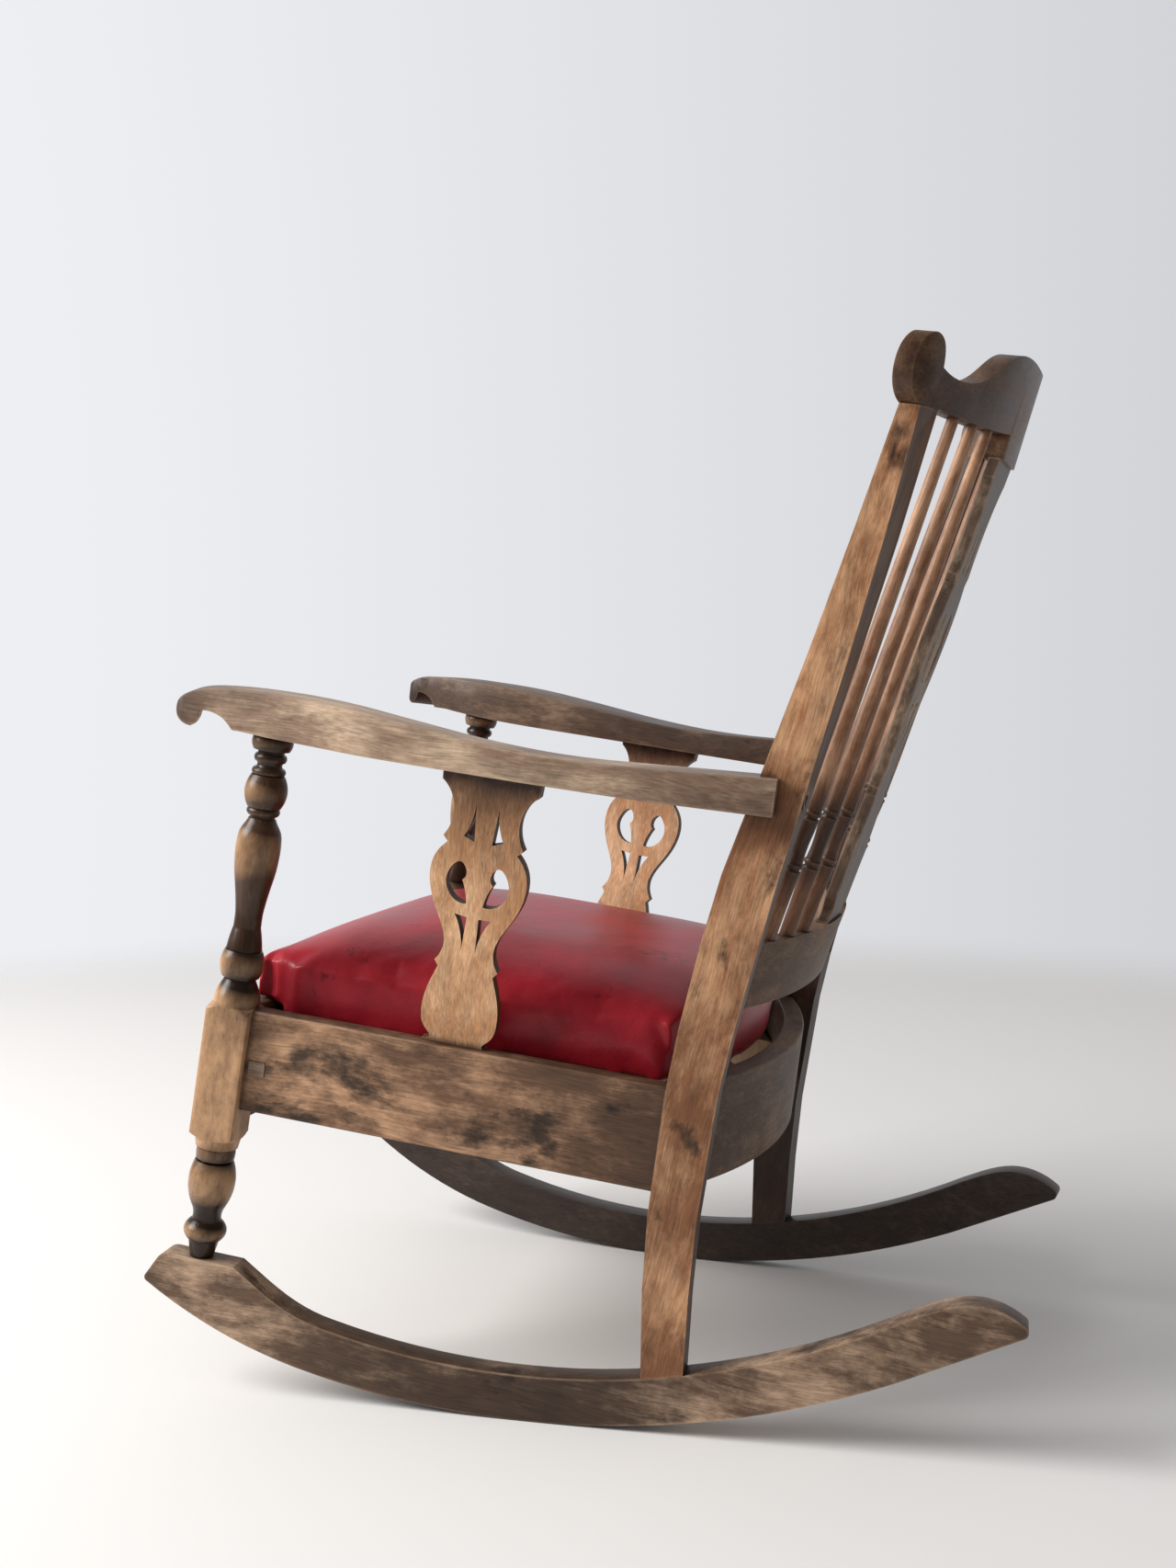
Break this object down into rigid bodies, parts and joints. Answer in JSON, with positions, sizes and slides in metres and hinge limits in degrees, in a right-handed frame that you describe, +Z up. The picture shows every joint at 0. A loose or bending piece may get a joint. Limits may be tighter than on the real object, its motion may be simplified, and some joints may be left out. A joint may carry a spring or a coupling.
{
  "type": "rocking chair",
  "caption": "Rocking chair with turned front legs, shaped arms, a bowed spindle-and-splat back, a scrolled crest rail and a loose seat cushion.",
  "frame": {"origin": "on the floor at the rockers' contact line, midway between them", "axes": "+X to the sitter's left, +Y to the chair's back, +Z up; the chair faces -Y"},
  "size_m": [0.6124, 0.8375, 0.9873],
  "materials": {
    "rocker_wood": "stained hardwood, worn and stripped in places",
    "leg_wood": "stained turned hardwood with dark grooves",
    "post_wood": "stained hardwood, worn pale at the edges",
    "rail_wood": "stained hardwood with dark blotches",
    "crest_wood": "dark stained hardwood",
    "spindle_wood": "stained turned hardwood with dark rings",
    "back_splat_wood": "stained hardwood, worn at the edges",
    "arm_splat_wood": "warm tan stained hardwood",
    "arm_wood": "pale worn hardwood",
    "hidden_wood": "bare softwood",
    "cushion_cover": "deep red vinyl-coated cloth, satin",
    "screw_steel": "dull aged steel"
  },
  "bodies": {
    "chair": {"rocker_left": "rocker_wood", "rocker_right": "rocker_wood", "front_leg_left": "leg_wood", "front_leg_right": "leg_wood", "back_post_left": "post_wood", "back_post_right": "post_wood", "side_rail_left": "rail_wood", "side_rail_right": "rail_wood", "front_rail": "rail_wood", "rear_rail": "rail_wood", "lower_back_rail": "rail_wood", "crest_rail": "crest_wood", "back_spindle_1": "spindle_wood", "back_spindle_2": "spindle_wood", "back_spindle_3": "spindle_wood", "back_spindle_4": "spindle_wood", "back_spindle_5": "spindle_wood", "back_spindle_6": "spindle_wood", "back_splat": "back_splat_wood", "arm_left": "arm_wood", "arm_right": "arm_wood", "arm_splat_left": "arm_splat_wood", "arm_splat_right": "arm_splat_wood", "seat_panel": "hidden_wood", "side_cleat_left": "hidden_wood", "side_cleat_right": "hidden_wood", "front_cleat": "hidden_wood", "rear_cleat": "hidden_wood", "front_corner_block_left": "hidden_wood", "front_corner_block_right": "hidden_wood", "rear_corner_block_left": "hidden_wood", "rear_corner_block_right": "hidden_wood", "rail_plugs": "rail_wood", "arm_bolts": "screw_steel", "rocker_screws": "screw_steel", "panel_screws": "screw_steel"},
    "cushion": {"cushion": "cushion_cover"}
  },
  "joints": [
    {"name": "cushion_lift", "type": "slide", "parent": "chair", "child": "cushion", "axis": [0, 0.1288, 0.9917], "range_m": [0, 0.12]}
  ]
}
